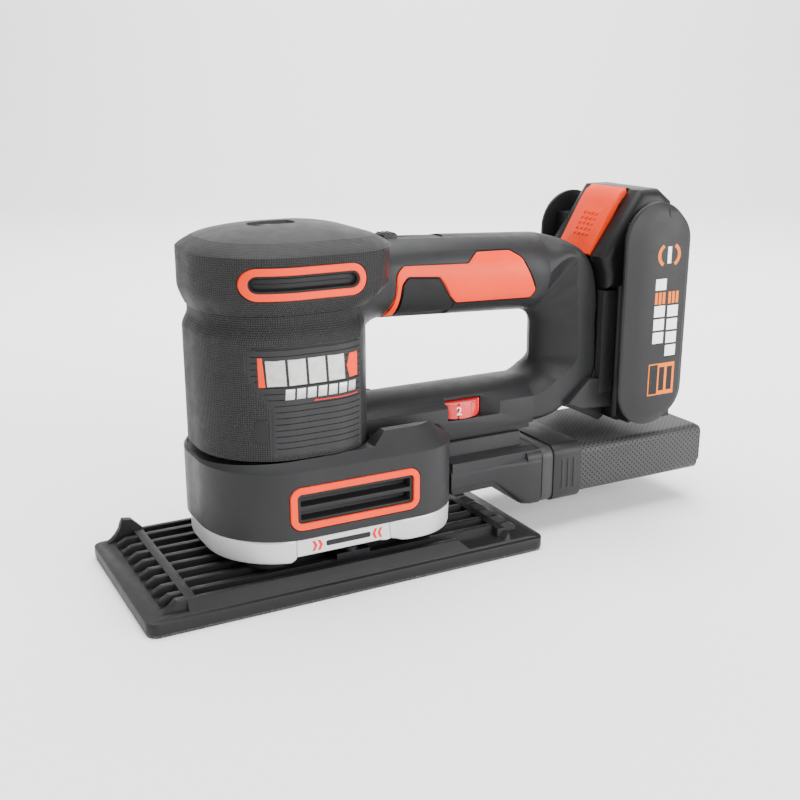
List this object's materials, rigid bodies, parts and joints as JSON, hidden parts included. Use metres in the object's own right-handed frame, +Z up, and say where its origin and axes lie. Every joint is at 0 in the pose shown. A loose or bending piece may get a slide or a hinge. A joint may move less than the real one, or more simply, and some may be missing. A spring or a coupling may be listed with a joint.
{
  "type": "cordless sheet sander",
  "caption": "Cordless sander with a slotted rectangular orbiting plate, upright motor, D-shaped handle, slide-on battery and a rear dust box.",
  "frame": {"origin": "centre of the sanding plate's sole, on the surface that the sander stands on", "axes": "+X from the motor to the rear, towards the battery; +Y to the tool's right side; +Z up, out of the sole"},
  "size_m": [0.3003, 0.093, 0.1623],
  "materials": {
    "charcoal_plastic": "fine moulded grain",
    "soft_grip": "dotted soft grip",
    "black_plastic": "satin",
    "orange_plastic": "satin",
    "silver_band": "satin silver",
    "red_dial": "gloss",
    "black_rubber": "matte",
    "hook_fabric": "short loops",
    "steel": "turned",
    "aluminium": "cast",
    "magnet": "sintered",
    "copper": "copper windings",
    "brass": "stamped",
    "carbon": "carbon",
    "circuit_board": "solder mask",
    "cell_wrap": "shrink wrap on a metal can",
    "filter_mesh": "perforated",
    "grey_plastic": "satin",
    "wire_red": "wire insulation"
  },
  "bodies": {
    "housing": {"housing_left": "charcoal_plastic", "housing_right": "charcoal_plastic", "rear_frame_left": "charcoal_plastic", "rear_frame_right": "charcoal_plastic", "grip_sleeve": "soft_grip", "top_cap": "charcoal_plastic", "base_shroud": "charcoal_plastic", "upper_vent_frame_left": "orange_plastic", "upper_vent_frame_right": "orange_plastic", "lower_vent_frame_left": "orange_plastic", "lower_vent_frame_right": "orange_plastic", "lower_louvres": "black_plastic", "handle_inlay_left": "orange_plastic", "handle_inlay_right": "orange_plastic", "grip_inserts": "soft_grip", "clamp_ring": "silver_band", "lever_pin": "steel", "rubber_posts": "black_rubber", "fan_deck": "black_plastic", "motor_can": "steel", "field_magnets": "magnet", "motor_end_cap": "black_plastic", "upper_bearing": "steel", "lower_bearing": "steel", "brush_holders": "brass", "carbon_brushes": "carbon", "switch_body": "black_plastic", "speed_board": "circuit_board", "dial_potentiometer": "steel", "battery_dock": "black_plastic", "terminal_block": "brass", "dust_duct": "charcoal_plastic", "wiring_harness": "wire_red", "shell_screws": "steel"},
    "spindle": {"motor_shaft": "steel", "armature": "copper", "commutator": "copper", "extraction_fan": "black_plastic", "eccentric_hub": "steel", "counterweight": "steel"},
    "plate": {"drive_bearing": "steel", "plate_carrier": "aluminium", "base_plate": "black_plastic", "sole_pad": "black_rubber", "hook_face": "hook_fabric", "carrier_screws": "steel"},
    "lever": {"clamp_lever": "silver_band"},
    "lock": {"lock_slider": "steel"},
    "dial": {"speed_dial": "red_dial"},
    "switch": {"power_switch": "black_plastic"},
    "battery": {"battery_shell": "black_plastic", "battery_cheek_left": "black_plastic", "battery_cheek_right": "black_plastic", "battery_cells": "cell_wrap", "battery_board": "circuit_board"},
    "button": {"release_button": "orange_plastic"},
    "dust_box": {"dust_collar": "charcoal_plastic", "collar_band": "grey_plastic"},
    "filter": {"filter_box": "filter_mesh"}
  },
  "joints": [
    {"name": "spindle_spin", "type": "hinge", "parent": "housing", "child": "spindle", "pos_m": [-0.02, 0, 0.04], "axis": [0, 0, 1], "continuous": true},
    {"name": "plate_orbit", "type": "hinge", "parent": "spindle", "child": "plate", "pos_m": [-0.01875, 0, 0.0205], "axis": [0, 0, 1], "continuous": true},
    {"name": "clamp_lever_swing", "type": "hinge", "parent": "housing", "child": "lever", "pos_m": [0.014, -0.036, 0.023], "axis": [0, 0, 1], "range_deg": [0, 95]},
    {"name": "lock_slide", "type": "slide", "parent": "housing", "child": "lock", "axis": [1, 0, 0], "range_m": [0, 0.004]},
    {"name": "speed_dial_turn", "type": "hinge", "parent": "housing", "child": "dial", "pos_m": [0.0665, -0.0055, 0.0648], "axis": [0, 0, 1], "range_deg": [-50, 200]},
    {"name": "power_switch_slide", "type": "slide", "parent": "housing", "child": "switch", "axis": [1, 0, 0], "range_m": [0, 0.006]},
    {"name": "battery_slide", "type": "slide", "parent": "housing", "child": "battery", "axis": [0, 0, 1], "range_m": [0, 0.062]},
    {"name": "release_button_press", "type": "slide", "parent": "battery", "child": "button", "axis": [0.866, 0, -0.5], "range_m": [0, 0.0025], "stiffness_N_per_m": 400, "springref_m": -0.001},
    {"name": "dust_box_slide", "type": "slide", "parent": "housing", "child": "dust_box", "axis": [1, 0, 0], "range_m": [0, 0.035]},
    {"name": "filter_slide", "type": "slide", "parent": "dust_box", "child": "filter", "axis": [1, 0, 0], "range_m": [0, 0.03]}
  ],
  "couplings": [
    {"joint": "plate_orbit", "follows": "spindle_spin", "ratio": -1},
    {"joint": "lock_slide", "follows": "clamp_lever_swing", "m_per_rad": 0.0024}
  ]
}
